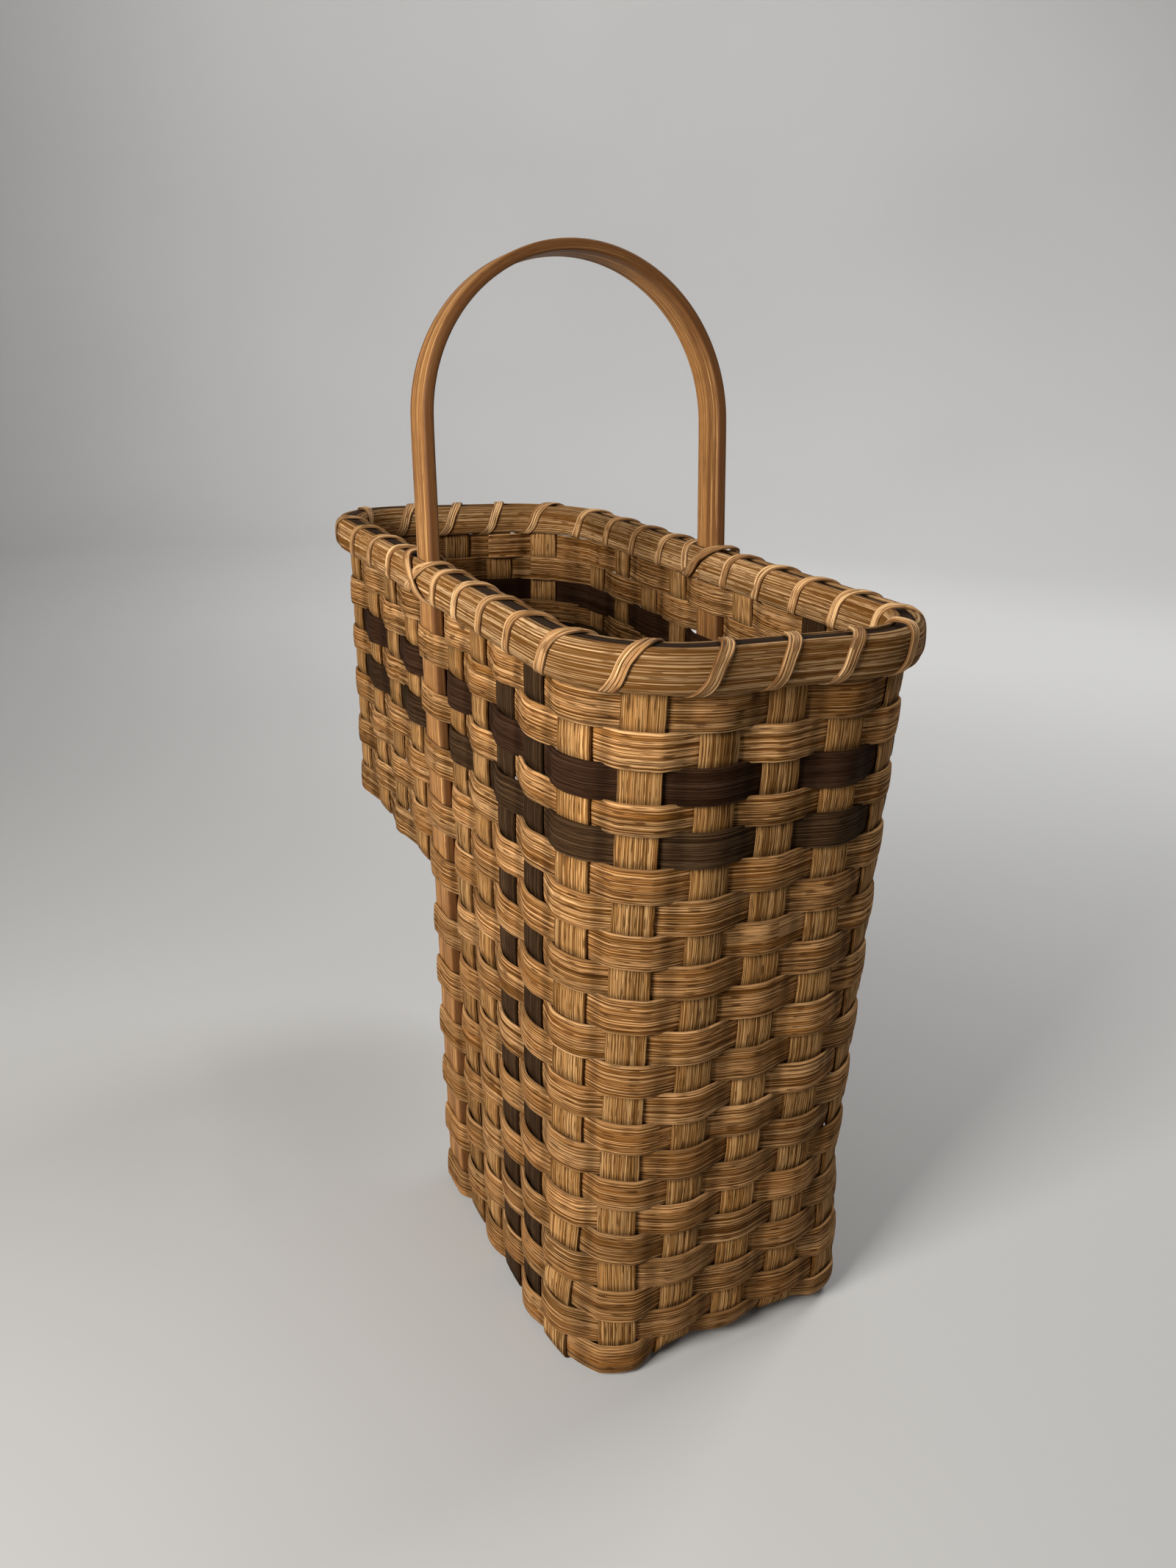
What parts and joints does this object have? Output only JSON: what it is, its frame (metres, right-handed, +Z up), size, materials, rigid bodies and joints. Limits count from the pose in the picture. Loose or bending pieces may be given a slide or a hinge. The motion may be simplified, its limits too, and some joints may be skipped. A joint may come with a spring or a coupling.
{
  "type": "stair basket",
  "caption": "Plain-woven splint stair basket: a deep body over a leg that stands one stair lower, with a lashed rim, dark accent splints and a bent wood handle.",
  "frame": {"origin": "on the lower stair, under the middle of the whole basket", "axes": "+Z up, +X towards the tall narrow front that faces down the stairs, +Y to the basket's left seen from behind"},
  "size_m": [0.4334, 0.1998, 0.5427],
  "materials": {
    "natural_reed": "dry flat reed, satin, with fine lengthwise grain",
    "dyed_reed_brown": "dyed dark brown reed, worn along the edges",
    "dyed_reed_plum": "dyed plum brown reed, worn along the edges",
    "rim_reed": "flat oval reed, smooth, pale along the edges",
    "rim_filler": "dark dyed rush",
    "lashing_cane": "grooved flat reed strand",
    "handle_wood": "steam-bent hardwood, sanded smooth, reddish brown"
  },
  "bodies": {
    "root": {"weaver_01": "natural_reed", "weaver_02": "natural_reed", "weaver_03": "dyed_reed_plum", "weaver_04": "natural_reed", "weaver_05": "dyed_reed_brown", "weaver_06": "natural_reed", "weaver_07": "natural_reed", "weaver_08": "natural_reed", "weaver_09": "natural_reed", "weaver_10": "natural_reed", "weaver_11": "natural_reed", "weaver_12": "natural_reed", "weaver_13": "natural_reed", "weaver_14": "natural_reed", "weaver_15": "natural_reed", "weaver_16": "natural_reed", "weaver_17": "natural_reed", "weaver_18": "natural_reed", "weaver_19": "natural_reed", "weaver_20": "natural_reed", "weaver_21": "natural_reed", "weaver_22": "natural_reed", "long_stake_1": "natural_reed", "long_stake_2": "natural_reed", "long_stake_3": "natural_reed", "long_stake_4": "natural_reed", "long_stake_5": "natural_reed", "leg_cross_stake_1": "natural_reed", "leg_cross_stake_2": "dyed_reed_brown", "leg_cross_stake_3": "dyed_reed_brown", "leg_cross_stake_4": "natural_reed", "leg_cross_stake_5": "natural_reed", "shelf_cross_stake_1": "natural_reed", "shelf_cross_stake_2": "natural_reed", "shelf_cross_stake_3": "natural_reed", "shelf_cross_stake_4": "natural_reed", "rim_weaver_front": "natural_reed", "rim_weaver_rear": "natural_reed", "rim_outer": "rim_reed", "rim_inner_front": "rim_reed", "rim_inner_rear": "rim_reed", "rim_filler_front": "rim_filler", "rim_filler_rear": "rim_filler", "rim_lashing": "lashing_cane", "handle_hoop": "handle_wood"}
  },
  "joints": []
}
